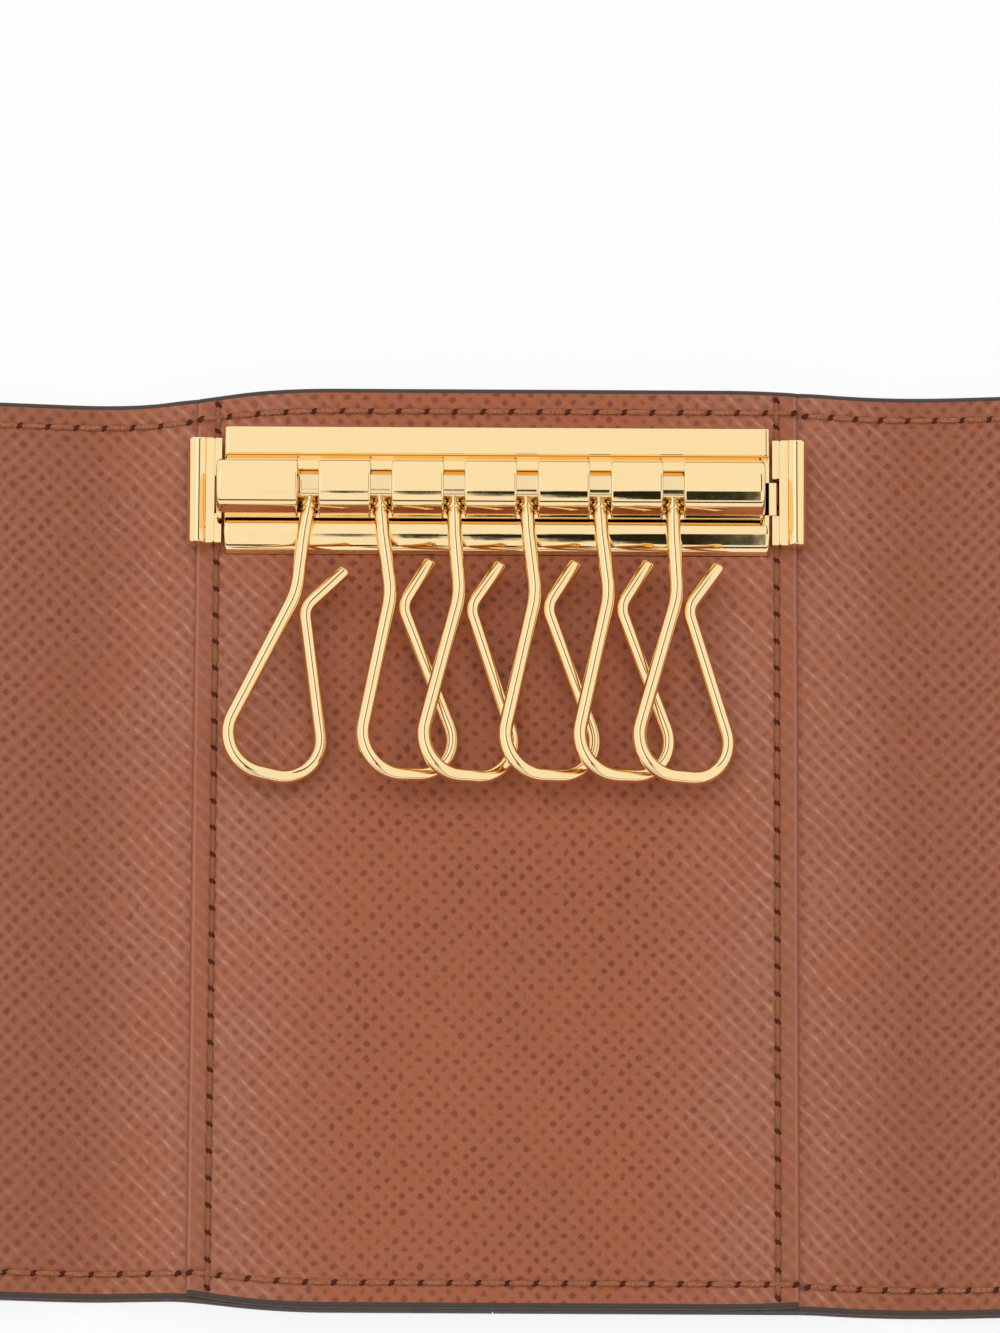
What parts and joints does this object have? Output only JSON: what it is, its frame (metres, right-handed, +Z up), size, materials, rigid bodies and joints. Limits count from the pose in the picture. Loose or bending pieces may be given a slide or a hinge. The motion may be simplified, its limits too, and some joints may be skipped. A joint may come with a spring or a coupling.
{
  "type": "key case",
  "caption": "Trifold leather key case lying open, with a gold-plated key bar whose wire hooks swing and spin, and flaps that fold shut on snaps.",
  "frame": {"origin": "middle of the open case on the surface that it lies on", "axes": "+X across the open case towards the outer flap, +Y towards the key bar's edge, +Z up out of the lining"},
  "size_m": [0.1898, 0.1, 0.0115],
  "materials": {
    "tan_lining": "cross-grained, satin",
    "brown_cover": "pebbled, satin",
    "gold_plate": "polished gold plate",
    "rivet_steel": "dull",
    "grey_board": "pressed fibre board"
  },
  "bodies": {
    "root": {"centre_cover": "brown_cover", "stiffener_board": "grey_board", "centre_lining": "tan_lining", "left_lining_margin": "tan_lining", "right_lining_margin": "tan_lining", "slotted_tube": "gold_plate", "bar_base": "gold_plate", "left_bracket": "gold_plate", "right_bracket": "gold_plate", "bracket_rivets": "rivet_steel"},
    "left_spine": {"left_spine_cover": "brown_cover", "left_spine_lining": "tan_lining"},
    "left_flap": {"left_flap_cover": "brown_cover", "left_flap_lining": "tan_lining", "snap_studs": "gold_plate", "snap_eyelets": "gold_plate"},
    "right_spine": {"right_spine_cover": "brown_cover", "right_spine_lining": "tan_lining"},
    "right_flap": {"right_flap_cover": "brown_cover", "right_flap_lining": "tan_lining", "snap_caps": "gold_plate", "snap_sockets": "gold_plate"},
    "drum_1": {"swivel_drum_1": "gold_plate"},
    "hook_1": {"hook_1": "gold_plate"},
    "drum_2": {"swivel_drum_2": "gold_plate"},
    "hook_2": {"hook_2": "gold_plate"},
    "drum_3": {"swivel_drum_3": "gold_plate"},
    "hook_3": {"hook_3": "gold_plate"},
    "drum_4": {"swivel_drum_4": "gold_plate"},
    "hook_4": {"hook_4": "gold_plate"},
    "drum_5": {"swivel_drum_5": "gold_plate"},
    "hook_5": {"hook_5": "gold_plate"},
    "drum_6": {"swivel_drum_6": "gold_plate"},
    "hook_6": {"hook_6": "gold_plate"}
  },
  "joints": [
    {"name": "left_spine_fold", "type": "hinge", "parent": "root", "child": "left_spine", "pos_m": [-0.033, 0, 0.0035], "axis": [0, 1, 0], "range_deg": [0, 96.75]},
    {"name": "left_flap_fold", "type": "hinge", "parent": "left_spine", "child": "left_flap", "pos_m": [-0.04432, 0, 0.00216], "axis": [0, 1, 0], "range_deg": [0, 76.8]},
    {"name": "right_spine_fold", "type": "hinge", "parent": "root", "child": "right_spine", "pos_m": [0.033, 0, 0.0035], "axis": [0, -1, 0], "range_deg": [0, 94.67]},
    {"name": "right_flap_fold", "type": "hinge", "parent": "right_spine", "child": "right_flap", "pos_m": [0.04825, 0, 0.00225], "axis": [0, -1, 0], "range_deg": [0, 78.88]},
    {"name": "drum_1_swing", "type": "hinge", "parent": "root", "child": "drum_1", "pos_m": [-0.01937, 0.0376, 0.0086], "axis": [-1, 0, 0], "range_deg": [0, 172]},
    {"name": "hook_1_spin", "type": "hinge", "parent": "drum_1", "child": "hook_1", "pos_m": [-0.01937, 0.0376, 0.0086], "axis": [-0.1736, -0.9833, -0.0543], "range_deg": [-3, 35]},
    {"name": "drum_2_swing", "type": "hinge", "parent": "root", "child": "drum_2", "pos_m": [-0.01239, 0.0376, 0.0086], "axis": [-1, 0, 0], "range_deg": [0, 172]},
    {"name": "hook_2_spin", "type": "hinge", "parent": "drum_2", "child": "hook_2", "pos_m": [-0.01239, 0.0376, 0.0086], "axis": [0.0819, -0.9962, -0.0293], "range_deg": [-4, 4]},
    {"name": "drum_3_swing", "type": "hinge", "parent": "root", "child": "drum_3", "pos_m": [-0.00457, 0.0376, 0.0086], "axis": [-1, 0, 0], "range_deg": [0, 172]},
    {"name": "hook_3_spin", "type": "hinge", "parent": "drum_3", "child": "hook_3", "pos_m": [-0.00457, 0.0376, 0.0086], "axis": [0.0279, -0.9992, -0.0294], "range_deg": [-4, 4]},
    {"name": "drum_4_swing", "type": "hinge", "parent": "root", "child": "drum_4", "pos_m": [0.00302, 0.0376, 0.0086], "axis": [-1, 0, 0], "range_deg": [0, 172]},
    {"name": "hook_4_spin", "type": "hinge", "parent": "drum_4", "child": "hook_4", "pos_m": [0.00302, 0.0376, 0.0086], "axis": [0.0628, -0.9976, -0.0293], "range_deg": [-4, 4]},
    {"name": "drum_5_swing", "type": "hinge", "parent": "root", "child": "drum_5", "pos_m": [0.01069, 0.0376, 0.0086], "axis": [-1, 0, 0], "range_deg": [0, 172]},
    {"name": "hook_5_spin", "type": "hinge", "parent": "drum_5", "child": "hook_5", "pos_m": [0.01069, 0.0376, 0.0086], "axis": [0.0663, -0.9974, -0.0293], "range_deg": [-4, 4]},
    {"name": "drum_6_swing", "type": "hinge", "parent": "root", "child": "drum_6", "pos_m": [0.01853, 0.0376, 0.0086], "axis": [-1, 0, 0], "range_deg": [0, 172]},
    {"name": "hook_6_spin", "type": "hinge", "parent": "drum_6", "child": "hook_6", "pos_m": [0.01853, 0.0376, 0.0086], "axis": [0.007, -0.9995, -0.0294], "range_deg": [-4, 4]}
  ],
  "couplings": [
    {"joint": "left_flap_fold", "follows": "left_spine_fold", "ratio": 0.79326},
    {"joint": "right_flap_fold", "follows": "right_spine_fold", "ratio": 0.83264},
    {"joint": "drum_3_swing", "follows": "drum_2_swing", "ratio": 1},
    {"joint": "drum_4_swing", "follows": "drum_2_swing", "ratio": 1},
    {"joint": "drum_5_swing", "follows": "drum_2_swing", "ratio": 1},
    {"joint": "drum_6_swing", "follows": "drum_2_swing", "ratio": 1}
  ]
}
